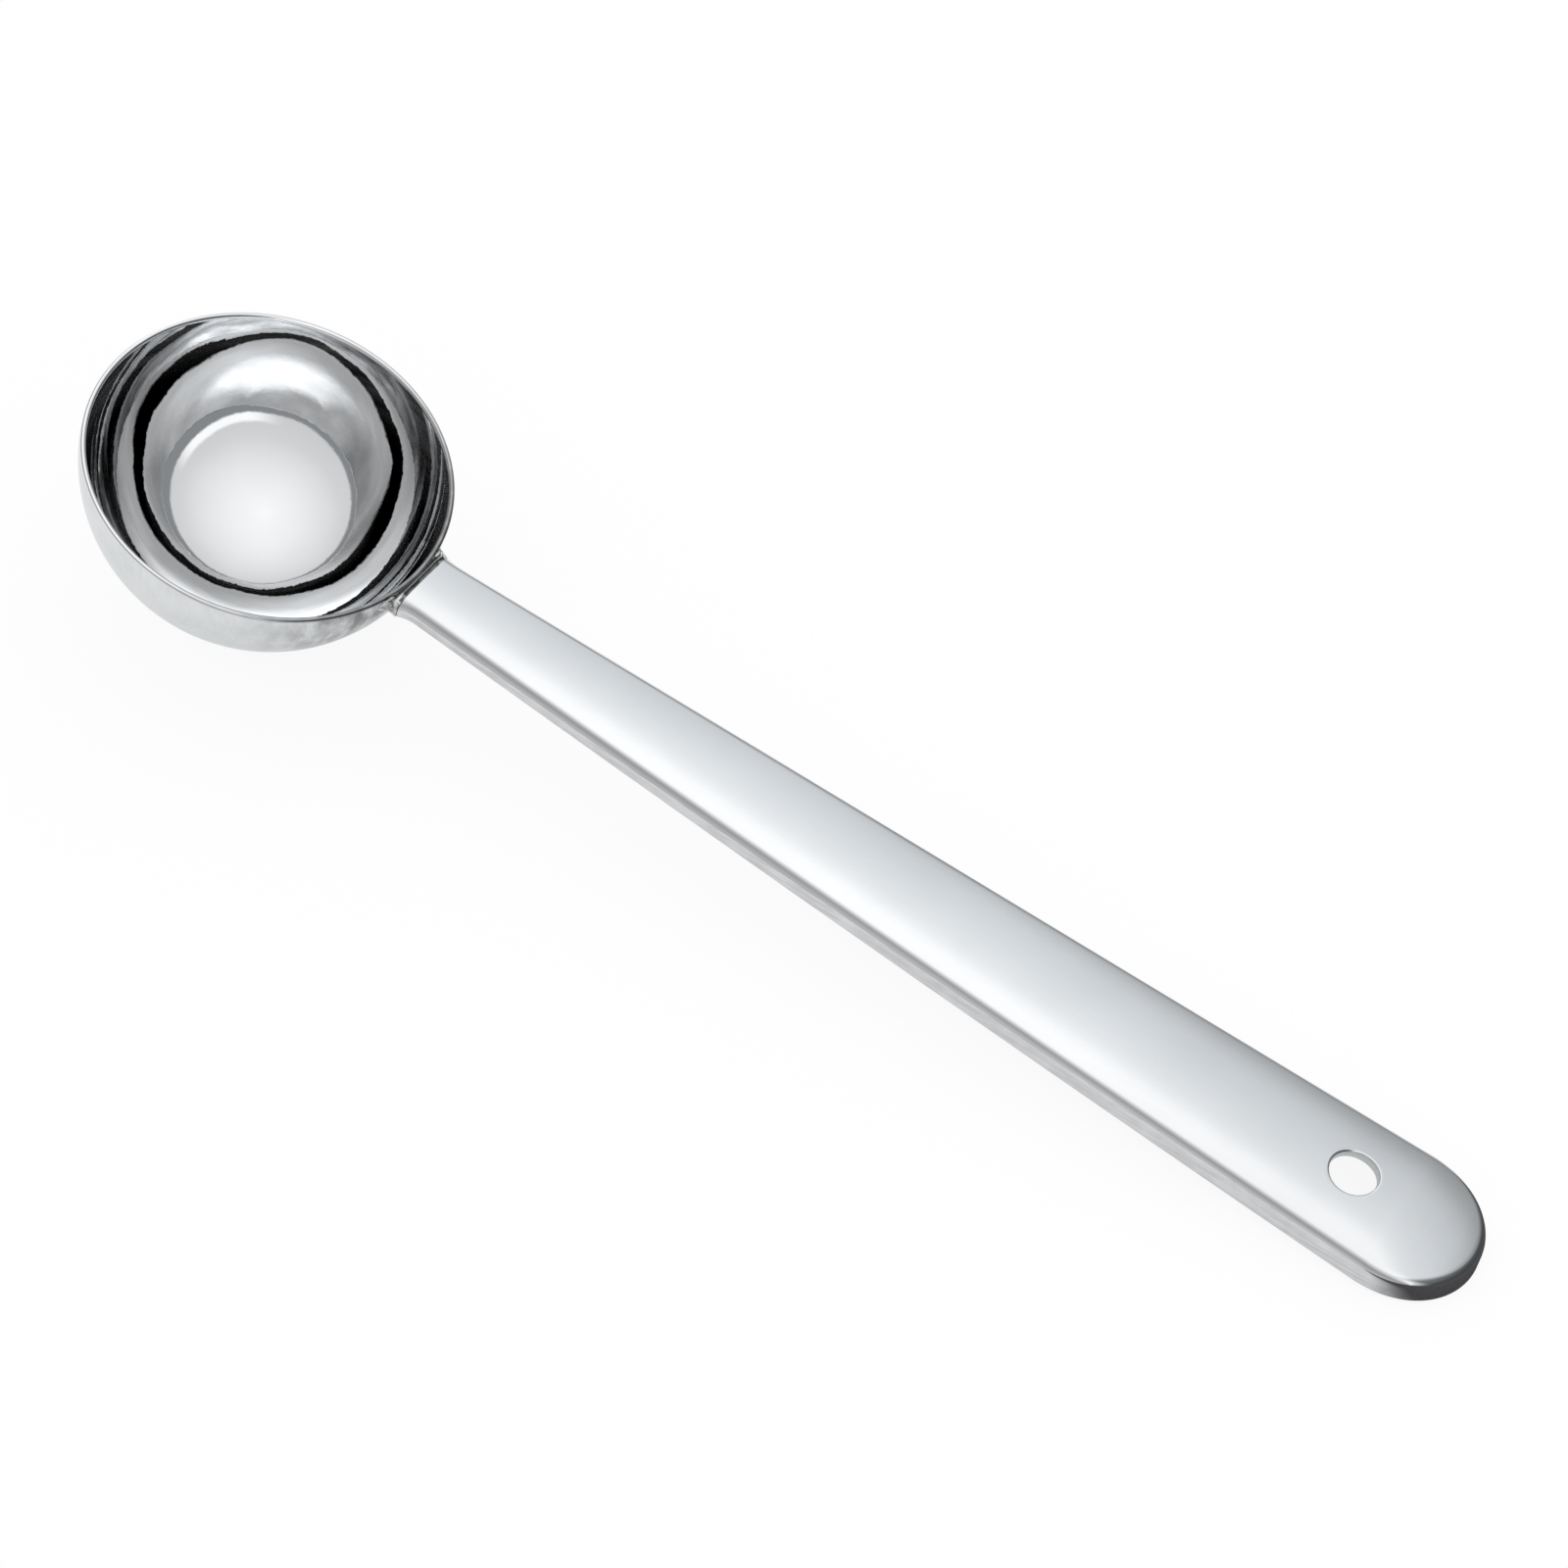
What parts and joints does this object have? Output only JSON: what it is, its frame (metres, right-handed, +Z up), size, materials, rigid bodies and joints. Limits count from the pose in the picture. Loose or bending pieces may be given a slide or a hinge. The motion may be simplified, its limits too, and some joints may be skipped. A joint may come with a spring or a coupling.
{
  "type": "ladle",
  "caption": "Polished steel kitchen ladle with a hemispherical bowl and a pressed channel handle, rounded at its free end and pierced there for hanging.",
  "frame": {"origin": "on the table plane, under the middle of the ladle's box as it lies at rest on the underside of its bowl and the free end of its handle", "axes": "+X along the ladle towards the handle's free end, +Z up from the table, +Y to the left of the handle"},
  "size_m": [0.3034, 0.072, 0.0444],
  "materials": {
    "bowl_steel": "mirror-polished stainless steel sheet",
    "handle_steel": "polished stainless steel sheet",
    "weld_steel": "stainless steel weld bead, ground smooth and brushed"
  },
  "bodies": {
    "root": {"bowl": "bowl_steel", "handle": "handle_steel", "neck_weld": "weld_steel"}
  },
  "joints": []
}
